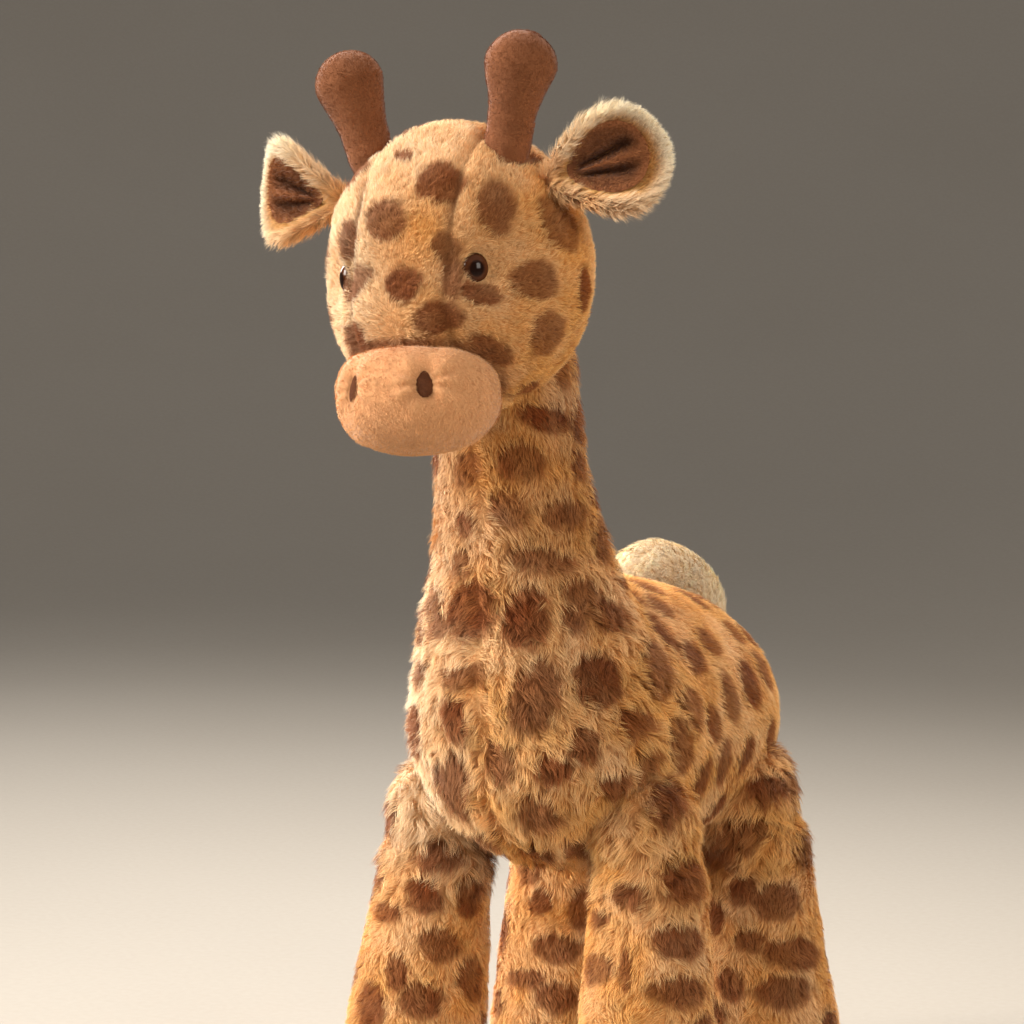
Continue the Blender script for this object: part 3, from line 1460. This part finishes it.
@dataclass
class Ear:
    """One cupped ear: a fur shell rolled over at its rim, and a dark lining with two folds.

    A place on its leaf is given on a unit disc: how far along it lies, from -1 at the root to 1
    at the tip, and how far across.
    """

    side_name: str
    sign: float
    azimuth: float = 81.0
    latitude: float = 31.0
    length: float = 0.040
    half_width: float = 0.019
    curl: float = 0.010
    sweep: float = math.radians(16.0)
    rise: float = math.radians(12.0)
    lining_half: Array = vector_field(0.68, 0.73)
    lining_shift: float = 0.07

    def frame(self) -> Tuple[Array, Array, Array, Array]:
        """The ear's root and its outward, width and hollow-side directions on the upright head."""
        head = Head()
        toward = direction(self.sign * self.azimuth, self.latitude)
        normal = unit(toward / np.array((head.half_width, head.back, head.crown)))
        root = head.spot(toward) + normal * 0.0022
        outward = np.array((self.sign * math.cos(self.sweep) * math.cos(self.rise),
                            math.sin(self.sweep) * math.cos(self.rise), math.sin(self.rise)))
        hollow = unit(np.cross(outward, UP)) * self.sign
        return root, outward, np.cross(hollow, outward), hollow

    def width(self, near_root: Array) -> Array:
        """The leaf's half width, from 0 at the tip to 1 at the root."""
        return self.half_width * (1.0 - 0.70 * np.clip(near_root, 0.0, 1.0) ** 1.5)

    def sheet(self, disc: Array, lift: Array) -> Array:
        """Positions over the cupped leaf.

        Args:
            disc: Rows of places on the disc.
            lift: Height of each row above the leaf's middle, towards its hollow side.

        Returns:
            Rows of positions in the toy's frame.
        """
        root, outward, width_way, hollow = self.frame()
        near_root = (1.0 - disc[:, 0]) / 2.0
        cup = self.curl * disc[:, 1] ** 2 * (0.55 + 0.45 * near_root)
        return tilt_head(root + outward * (self.length * (1.0 - near_root))[:, None]
                         + width_way * (disc[:, 1] * self.width(near_root))[:, None]
                         + hollow * (cup + lift)[:, None])

    def to_disc(self, points: Array) -> Array:
        """Where points of the toy's frame lie on the disc."""
        root, outward, width_way, _ = self.frame()
        offset = untilt_head(points) - root
        along = offset @ outward / self.length * 2.0 - 1.0
        return np.stack((along, offset @ width_way / self.width((1.0 - along) / 2.0)), 1)

    def shell(self) -> Form:
        """The closed fur shell: a flattened ball bent to the leaf, thick at its rolled rim."""
        def shape(units: Array) -> Array:
            """Bend the unit ball to the leaf."""
            across = np.hypot(units[:, 0], units[:, 1])
            return self.sheet(units[:, :2] * 1.02, units[:, 2] * (0.0021 + 0.0012 * across ** 4))
        return ball_form(shape, 2, 60, 72)

    def lining(self) -> Form:
        """The closed lining, laid in the hollow with two folds that run to the pinched root."""
        def shape(units: Array) -> Array:
            """Bend the unit ball to the hollow and fold it."""
            disc = units[:, :2] * self.lining_half + self.lining_middle()
            folds, ridge = self.folds(disc)
            return self.sheet(disc, 0.0036 - 0.0022 * folds + 0.0016 * ridge + units[:, 2] * 0.0006)
        return ball_form(shape, 2, 70, 96)

    def folds(self, disc: Array) -> Tuple[Array, Array]:
        """How deep in a fold, and how high on the ridge between the two, places on the disc are."""
        spread = disc[:, 1] / np.maximum(0.25, (disc[:, 0] + 1.15) * 0.58)
        fade = smoothstep(0.92, 0.45, self.lined(disc))
        folds = np.exp(-((spread - 0.32) / 0.17) ** 2) + 0.85 * np.exp(-((spread + 0.27) / 0.15) ** 2)
        return folds * fade, np.exp(-((spread - 0.02) / 0.14) ** 2) * fade

    def lining_middle(self) -> Array:
        """The lining's middle on the disc, nearer the tip and the upper rim."""
        return np.array((self.lining_shift, self.lining_shift * np.sign(self.frame()[2][2])))

    def lined(self, disc: Array) -> Array:
        """How far out in the lining places on the disc are, from 0 at its middle to 1 at its edge."""
        return np.linalg.norm((disc - self.lining_middle()) / self.lining_half, axis=1)

    def rim(self, points: Array) -> Array:
        """How white the fur is: most at the tip and along the upper rim."""
        disc = self.to_disc(points)
        upper = self.frame()[2][2] * disc[:, 1]
        out = smoothstep(0.74, 1.0, np.hypot(disc[:, 0], disc[:, 1]))
        return out * (0.70 + 0.25 * upper + 0.40 * disc[:, 0]) + 0.12 * value_noise(points, 0.007, 96)

    def shade(self, points: Array) -> Array:
        """How deep in a fold the lining is."""
        disc = self.to_disc(points)
        folds, ridge = self.folds(disc)
        edge = smoothstep(0.70, 1.0, self.lined(disc))
        deep = smoothstep(0.3, -0.6, disc[:, 0])
        grain = 0.12 * value_noise(points, 0.006, 97)
        return 0.30 + 0.75 * folds - 0.35 * ridge - 0.40 * edge + 0.35 * deep + grain

    def build(self, toy: "Giraffe") -> None:
        """Add the fur shell, long at the rim, and the dark folded lining."""
        root, outward, _, hollow = self.frame()
        root, outward, hollow = tilt_head(root), tilt_way(outward), tilt_way(hollow)

        def flow(points: Array, normals: Array) -> Array:
            """Out from the root, and over the rim on the hollow side."""
            spread = points - root
            spread = spread - hollow * (spread @ hollow)[:, None]
            return unit(spread) + outward * 0.35 + 0.25 * normals

        name, builder, groom = self.side_name, toy.builder, toy.groom
        hold = Hold("head", f"ear_{name}", root - outward * 0.001, root + outward * 0.012)
        shell, lining = self.shell(), self.lining()
        dye = ShadedDye(Dye.GOLD, Dye.WHITE, self.rim)
        dark = ShadedDye(Dye.LINING, Dye.FOLD, self.shade)
        builder.skin(f"ear_shell_{name}", shell, Finishes.FUR_CLOTH, "spotted_fur", hold, dye,
                     (f"ear_back_{name}",), 0.4)
        builder.skin(f"ear_lining_cloth_{name}", lining, Finishes.LINING, "ear_lining_pile", hold,
                     dark, (f"ear_lining_{name}",), 0.3)
        roots = groom.sow(shell, Coats.EAR.value, flow)
        disc = self.to_disc(roots.points)
        inner = (roots.normals @ hollow > 0.15) & (self.lined(disc) < 0.95)
        at_rim = smoothstep(0.80, 1.0, np.hypot(disc[:, 0], disc[:, 1]))
        at_tip = smoothstep(0.10, 0.95, disc[:, 0])
        roots.scale = (0.72 + 0.60 * at_rim) * (1.0 - 0.56 * at_tip)
        roots = roots.kept(~inner & (toy.head.depth(roots.points) < 0.003))
        builder.pile(f"ear_fur_{name}", groom, roots, Coats.EAR.value, dye, "spotted_fur", hold)
        roots = groom.sow(lining, Coats.LINING.value, flow)
        roots = roots.kept(roots.normals @ hollow > 0.0)
        builder.pile(f"ear_lining_nap_{name}", groom, roots, Coats.LINING.value, dark,
                     "ear_lining_pile", hold)


@dataclass
class Horn:
    """One club-shaped velour horn with a seam down either side and a fine nap."""

    side_name: str
    sign: float
    azimuth: float = 72.0
    latitude: float = 53.0
    splay: float = math.radians(15.0)
    # Heights from the root, and the horn's radius at each
    profile: Tuple[Tuple[float, float], ...] = (
        (-0.0060, 0.0072), (0.0, 0.0080), (0.0040, 0.0077), (0.0100, 0.0082), (0.0160, 0.0096),
        (0.0220, 0.0114), (0.0255, 0.0122))
    knob: float = 0.0124
    knob_middle: float = 0.0240

    def frame(self) -> Tuple[Array, Array]:
        """The horn's root and direction on the upright head."""
        head = Head()
        toward = direction(self.sign * self.azimuth, self.latitude)
        normal = unit(toward / np.array((head.half_width, head.front, head.crown)))
        way = np.array((math.sin(self.sign * self.splay), 0.0, math.cos(self.splay)))
        return head.spot(toward) + normal * 0.0020, way

    def form(self) -> Form:
        """The horn's closed surface, leaned with the head."""
        root, way = self.frame()
        tip = np.sin(np.linspace(0.2, math.pi / 2.0, 16)[:-1])
        heights = np.concatenate((np.linspace(-0.0060, 0.026, 40), self.knob_middle + self.knob * tip))
        radii = np.interp(heights, *np.array(self.profile).T)
        above = np.maximum(0.0, heights - self.knob_middle)
        crown = np.sqrt(np.maximum(0.0, self.knob ** 2 - above ** 2))
        radii = np.where(heights > 0.0255, crown, np.minimum(radii, self.knob))
        radii[1:-1] = np.convolve(radii, np.ones(3) / 3.0, mode="valid")
        side = np.cross(UP, -BACK)
        side = unit(side - way * (side @ way))
        angle = turns(64)
        wide = 1.0 - 0.10 * np.abs(np.sin(angle))
        seam = sum(np.exp(-((angle - math.pi * turn) / 0.05) ** 2) for turn in (0.12, 0.90))
        around = spokes(64, side, np.cross(way, side))
        rings = (root + heights[:, None, None] * way
                 + (radii[:, None] * wide - 0.0004 * seam)[..., None] * around)
        made = closed_tube(rings, root - way * 0.0070, root + way * (self.knob_middle + self.knob))
        return made.pushed(bumps(made.points, 61, (0.006, 0.0003), (0.015, 0.0005))).tilted()

    def build(self, toy: "Giraffe") -> None:
        """Add the horn's velour and nap."""
        root, way = self.frame()
        root, way = tilt_head(root), tilt_way(way)
        name, form, coat = self.side_name, self.form(), Coats.HORN.value
        hold = Hold("head", f"horn_{name}", root, root + way * 0.010)
        toy.builder.skin(f"horn_velour_{name}", form, Finishes.HORN, "horn_velour", hold, None,
                         (f"horn_cover_{name}", f"horn_filling_{name}"), 0.9)
        roots = toy.groom.sow(form, coat, down_flow(0.0, -1.0, 0.7))
        roots = roots.kept(toy.head.depth(roots.points) < 0.002)
        dye = ShadedDye(Dye.HORN, Dye.HORN, lambda points: np.zeros(len(points)))
        toy.builder.pile(f"horn_nap_{name}", toy.groom, roots, coat, dye, "horn_velour", hold)


@dataclass
class Leg:
    """One leg: a stuffed tube that widens to its foot and leans as the CAD leg does, with its sole."""

    name: str
    lean: float
    sign: float
    splay: float = 3.5
    tuck: float = 0.28
    ball: float = 0.0185
    foot: float = 0.0255
    hem: float = 0.0238
    hem_height: float = 0.012
    dome_end: float = 0.42
    cloth: float = 0.0007
    sole: float = 0.0216
    sole_outline: Tuple[Tuple[float, float], ...] = (
        (0.30, 0.0), (0.60, 0.0), (0.85, 0.0), (0.965, 0.0), (1.0, 0.0006), (0.99, 0.0013),
        (0.94, 0.0018), (0.60, 0.0020))

    def __post_init__(self) -> None:
        self.joint = JOINTS[f"{self.name}_swing"] - BASE
        self.floor = -self.joint[2]

    def shift(self, heights: Array) -> Array:
        """Rows of X and Y shifts of the leg's middle, at heights from its joint."""
        depth = np.maximum(0.0, -heights - self.ball * self.dome_end)
        return np.stack((self.sign * depth * math.tan(math.radians(self.splay)),
                         depth * math.tan(math.radians(self.lean))), 1)

    def radius(self, heights: Array) -> Array:
        """The leg's radius at heights from its joint."""
        start = self.ball * self.dome_end
        neck = self.ball * math.sqrt(1.0 - self.dome_end ** 2)
        share = np.clip((-heights - start) / (-self.floor - self.hem_height - start), 0.0, 1.0)
        dome = np.sqrt(np.maximum(0.0, self.ball ** 2 - np.minimum(heights ** 2, self.ball ** 2)))
        return np.where(heights > -start, dome, neck + (self.foot - neck) * share)

    def shoulder(self, across: Array, heights: Array) -> Array:
        """How far the leg's outer side is flattened where it meets the body.

        Args:
            across: Sideways offsets from the leg's middle.
            heights: Heights from the joint.

        Returns:
            A scale for each offset.
        """
        return 1.0 - self.tuck * smoothstep(-self.ball, 0.0, heights) * (self.sign * across > 0.0)

    def depth(self, points: Array) -> Array:
        """How far inside the leg points are, in metres; negative outside."""
        local = points - self.joint
        middle = self.shift(local[:, 2])
        across = local[:, 0] - middle[:, 0]
        across = across / self.shoulder(across, local[:, 2])
        return self.radius(local[:, 2]) - np.hypot(across, local[:, 1] - middle[:, 1])

    def form(self) -> Form:
        """The leg's closed surface down to the hem of its sole."""
        hem_top = self.floor + self.hem_height
        dome = np.sin(np.linspace(math.pi / 2.0, 0.0, 12)[1:]) * self.ball
        heights = np.concatenate((dome, np.linspace(0.0, hem_top, 44)[1:]))
        turned = np.array((0.25, 0.5, 0.75, 0.92, 1.0))
        hem_radii = self.foot + self.cloth - (self.foot - self.hem + 0.0016) * turned ** 2.6
        radii = np.concatenate((self.radius(heights) + self.cloth, hem_radii))
        heights = np.concatenate((heights, hem_top - 0.0108 * turned))
        centres = np.concatenate((self.shift(heights), heights[:, None]), 1) + self.joint
        offsets = radii[:, None, None] * spokes(56, RIGHT, BACK)
        offsets[..., 0] *= self.shoulder(offsets[..., 0], heights[:, None])
        top = self.joint + UP * (self.ball + self.cloth)
        made = closed_tube(centres[:, None] + offsets, top, centres[-1] + UP * 0.0002)
        lumps = bumps(made.points, 30 + len(self.name), (0.024, 0.0009), (0.011, 0.0003))
        return made.pushed(lumps * smoothstep(0.003, 0.014, made.points[:, 2]))

    def build(self, toy: "Giraffe") -> None:
        """Add the leg's cloth and its fur, tufted where it is sewn to the body, and its sole."""
        name, joint, coat = self.name, self.joint, Coats.LEG.value
        hold = Hold("torso", name, joint + UP * 0.004, joint - UP * 0.030)
        form = toy.forms[name]
        toy.builder.skin(f"{name}_cloth", form, Finishes.FUR_CLOTH, "spotted_fur", hold, toy.dye,
                         (f"{name}_cover", f"{name}_filling", f"{name}_pouch"))
        roots = toy.groom.sow(form, coat, down_flow(0.0, 1.0, 0.55),
                              lambda points: (points[:, 2] > 0.0018).astype(float) + 1e-6)
        roots = roots.kept(~toy.hidden(roots.points, name, toy.overlap))
        top = smoothstep(joint[2] - 0.035, joint[2] - 0.010, roots.points[:, 2])
        foot = smoothstep(0.004, 0.016, roots.points[:, 2])
        roots.scale = (0.74 + 0.80 * top) * (0.45 + 0.55 * foot)
        toy.builder.pile(f"{name}_fur", toy.groom, roots, coat, toy.dye, "spotted_fur", hold)
        self.build_sole(toy)

    def build_sole(self, toy: "Giraffe") -> None:
        """Add the round velour sole, flat on the floor and gathered at its edge."""
        centre = self.joint + np.append(self.shift(np.array((self.floor,)))[0], self.floor)
        around = spokes(96, RIGHT, BACK)
        ruffle = 0.00025 * np.sin(turns(96) * 24.0)
        rings = []
        for share, rise in self.sole_outline:
            radii = self.sole * share + ruffle * (0.0 < rise < 0.0019)
            rings.append(centre + around * radii[:, None] + UP * rise)
        made = closed_tube(np.array(rings), centre, centre + UP * self.sole_outline[-1][1])
        item = make_mesh(f"{self.name}_sole_velour", made)
        toy.builder.fix(item, Finishes.SOLE, "sole_velour", Hold(self.name), (f"{self.name}_sole",), 0.2)


@dataclass
class Tail:
    """The curled cream tail, from the rump up, over and forward."""

    root: Array = vector_field(0.0, 0.0770, 0.1655)
    reach_back: float = 0.0060
    reach_forward: float = 0.0310
    reach_up: float = 0.0260
    reach_side: float = 0.0130
    radius: float = 0.0080
    # Shares of the reaches to the side, back (or forward) and up, and of the radius
    knots: Tuple[Tuple[float, float, float, float], ...] = (
        (0.0, -0.6, -0.5, 1.15), (0.0, 0.0, 0.0, 1.12), (-0.03, 0.85, 0.30, 1.08),
        (-0.12, 0.70, 0.58, 1.10), (-0.33, -0.12, 0.84, 1.14), (-0.62, -0.52, 1.0, 1.17),
        (-0.88, -0.84, 0.98, 1.02), (-1.0, -1.0, 0.90, 0.62))

    def line(self) -> Tuple[Array, Array]:
        """The tail's centreline, a smooth curve through its knots, and a radius for each of its points."""
        side, along, rise, thick = np.array(self.knots).T
        along = along * np.where(along > 0.0, self.reach_back, self.reach_forward)
        knots = np.stack((side * self.reach_side, along, rise * self.reach_up), 1)
        fine = np.linspace(0.0, len(knots) - 1.0, 60)
        padded = np.concatenate((knots[:1], knots, knots[-1:]))
        low = np.minimum(fine.astype(int), len(knots) - 2)
        t = (fine - low)[:, None]
        before, start, end, after = (padded[low + i] for i in range(4))
        path = 0.5 * (2.0 * start + (end - before) * t
                      + (2.0 * before - 5.0 * start + 4.0 * end - after) * t ** 2
                      + (3.0 * start - before - 3.0 * end + after) * t ** 3)
        return path + self.root, np.interp(fine, np.arange(len(knots)), thick) * self.radius

    def form(self) -> Tuple[Form, Array, Array]:
        """The tail's closed surface, with its centreline and the centreline's directions."""
        path, radii = self.line()
        ways = unit(np.gradient(path, axis=0))
        ups = unit(np.cross(ways, RIGHT))
        around = spokes(36, np.cross(ups, ways)[:, None], ups[:, None])
        rings = path[:, None] + radii[:, None, None] * around
        end, way, thick = path[-1], ways[-1], radii[-1]
        caps = [end + way * thick * math.sin(t) + around[-1] * thick * math.cos(t)
                for t in np.linspace(0.0, math.pi / 2.0, 8)[1:-1]]
        made = closed_tube(np.concatenate((rings, caps)), path[0] - ways[0] * 0.002, end + way * thick)
        return made.pushed(0.0003 + bumps(made.points, 51, (0.012, 0.0004))), path, ways

    def build(self, toy: "Giraffe") -> None:
        """Add the tail's cloth and its plain fur."""
        form, path, ways = self.form()
        tree = index_of(path)

        def flow(points: Array, _: Array) -> Array:
            """Along the tail to its tip."""
            drift = np.stack([value_noise(points, 0.012, 121 + i) for i in range(3)], 1)
            return ways[nearest_in(tree, points)] + 0.35 * drift

        def tinge(points: Array) -> Array:
            """How yellow the cream is."""
            return 0.10 + 0.3 * value_noise(points, 0.014, 98)

        hold = Hold("torso", "tail", self.root - UP * 0.002, self.root + UP * 0.010)
        dye, coat = ShadedDye(Dye.TAIL, Dye.CREAM, tinge), Coats.TAIL.value
        toy.builder.skin("tail_cloth", form, Finishes.FUR_CLOTH, "tail_fur", hold, dye,
                         ("tail_cover", "tail_filling"))
        roots = toy.groom.sow(form, coat, flow)
        roots = roots.kept(toy.torso.depth(roots.points) < 0.003)
        toy.builder.pile("tail_fur", toy.groom, roots, coat, dye, "tail_fur", hold)


class Giraffe:
    """The whole toy: its parts, their common spot pattern and what builds and grooms them."""

    overlap = 0.0045

    def __init__(self) -> None:
        self.builder = Builder()
        self.groom = Groom(1977)
        self.torso, self.neck, self.head, self.muzzle = Torso(), Neck(), Head(), Muzzle()
        self.legs = [Leg(f"{row}_leg_{side}", lean, sign) for row, lean in (("front", -7.5), ("hind", 3.0))
                     for side, sign in SIDES]
        self.forms: Dict[str, Form] = {
            "torso": self.torso.form(), "neck": self.neck.form(), "head": self.head.form(),
            **{leg.name: leg.form() for leg in self.legs},
        }
        spots = SpotPainter(list(self.forms.values())).paint(np.random.default_rng(5))
        self.dye = SpottedDye(spots, lit_side)

    def hidden(self, points: Array, own: str, margin: float) -> Array:
        """Which points lie deep inside another form.

        Args:
            points: Rows of positions.
            own: The form that they belong to.
            margin: How deep, in metres.

        Returns:
            True for hidden points.
        """
        shapes = {"torso": self.torso, "neck": self.neck, "head": self.head, "muzzle": self.muzzle,
                  **{leg.name: leg for leg in self.legs}}
        out = np.zeros(len(points), bool)
        for name, shape in shapes.items():
            if name != own:
                out |= shape.depth(points) > margin
        return out

    def build(self) -> None:
        """Add every part in order and report it."""
        parts = [("torso", self.torso), ("neck", self.neck), ("head", self.head), ("muzzle", self.muzzle),
                 ("nostrils", Nostrils()), ("eyes", Eyes())]
        parts += [(f"ear_{side}", Ear(side, sign)) for side, sign in SIDES]
        parts += [(f"horn_{side}", Horn(side, sign)) for side, sign in SIDES]
        parts += [(leg.name, leg) for leg in self.legs]
        for name, part in parts + [("tail", Tail())]:
            part.build(self)
            LOG.info("built %s", name)


# ---------------------------------------------------------------- studio

@dataclass(frozen=True)
class Lamp:
    """A square softbox: where it stands, its side, its watts, its colour and its grid's angle."""

    name: str
    place: Tuple[float, float, float]
    size: float
    power: float
    colour: Colour
    spread: float

    def build(self, target: Vector) -> None:
        """Add the lamp.

        Args:
            target: Where it looks.
        """
        lamp = bpy.data.lights.new(self.name, "AREA")
        lamp.shape, lamp.size, lamp.energy, lamp.color = "SQUARE", self.size, self.power, self.colour
        lamp.spread = math.radians(self.spread)
        holder = bpy.data.objects.new(self.name, lamp)
        bpy.context.scene.collection.objects.link(holder)
        holder.location = self.place
        holder.rotation_mode = "QUATERNION"
        holder.rotation_quaternion = (target - Vector(self.place)).to_track_quat("-Z", "Y")


@dataclass
class Studio:
    """A pale sweep, soft lights and the photograph's camera."""

    lamps: Tuple[Lamp, ...] = (
        Lamp("key", (-1.85, -1.20, 1.25), 1.1, 12.2, (1.0, 0.93, 0.83), 50.0),
        Lamp("fill", (1.55, -0.80, 0.75), 0.7, 6.0, (1.0, 0.92, 0.82), 110.0),
        Lamp("rim", (-1.60, 1.00, 1.00), 0.9, 7.4, (1.0, 0.95, 0.88), 50.0),
        Lamp("top", (-0.10, 0.85, 1.75), 0.9, 3.0, (1.0, 0.95, 0.88), 50.0),
    )
    target: Tuple[float, float, float] = (0.0, 0.0, 0.19)
    sky: Colour = (1.0, 0.955, 0.895)
    sky_strength: float = 0.54
    sensor: float = 36.0
    flat: float = 1.2
    bend: float = 2.4

    def build(self) -> None:
        """Make the floor, the lights, the world and the camera."""
        scene = bpy.context.scene
        self.build_sweep()
        for lamp in self.lamps:
            lamp.build(Vector(self.target))
        scene.world = bpy.data.worlds.new("studio_world")
        scene.world.use_nodes = True
        sky = scene.world.node_tree.nodes["Background"]
        sky.inputs["Color"].default_value = (*self.sky, 1.0)
        sky.inputs["Strength"].default_value = self.sky_strength
        scene.view_settings.view_transform = "Standard"
        scene.view_settings.look = "None"
        eye = PhotoEye()
        camera = bpy.data.cameras.new("photo_camera")
        camera.sensor_width = self.sensor
        camera.lens = eye.focal * self.sensor / eye.pixels
        camera.clip_start, camera.clip_end = 0.05, 50.0
        holder = bpy.data.objects.new("photo_camera", camera)
        scene.collection.objects.link(holder)
        holder.location = Vector(eye.place + BASE)
        holder.rotation_mode = "QUATERNION"
        holder.rotation_quaternion = Vector(eye.forward).to_track_quat("-Z", "Y")
        scene.camera = holder

    def build_sweep(self) -> None:
        """Add a round floor of pale paper that curves up into a backdrop on every side."""
        steps, around = 24, 128
        bend = np.arange(1, steps + 1) / steps * math.pi / 2.0
        reach = np.concatenate((self.flat * np.array((0.1, 0.4, 1.0)), self.flat + self.bend * np.sin(bend)))
        height = np.concatenate((np.zeros(3), self.bend - self.bend * np.cos(bend)))
        rings = reach[:, None, None] * spokes(around, RIGHT, BACK) + height[:, None, None] * UP
        points = np.concatenate((rings.reshape(-1, 3), np.zeros((1, 3))))
        first = np.arange(around)
        tris = np.stack((np.full(around, len(points) - 1), (first + 1) % around, first), -1)
        form = Form(points - BASE, ring_quads(len(reach), around)[:, ::-1], tris[:, ::-1])
        item = make_mesh("studio_sweep", form)
        item.data.materials.append(Finishes.PAPER.value.build())


def main() -> None:
    """Build the toy and its studio and report them."""
    logging.basicConfig(level=logging.INFO, format="%(name)s: %(message)s")
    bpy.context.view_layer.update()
    Giraffe().build()
    Studio().build()
    LOG.info("built studio")


if __name__ == "__main__":
    main()
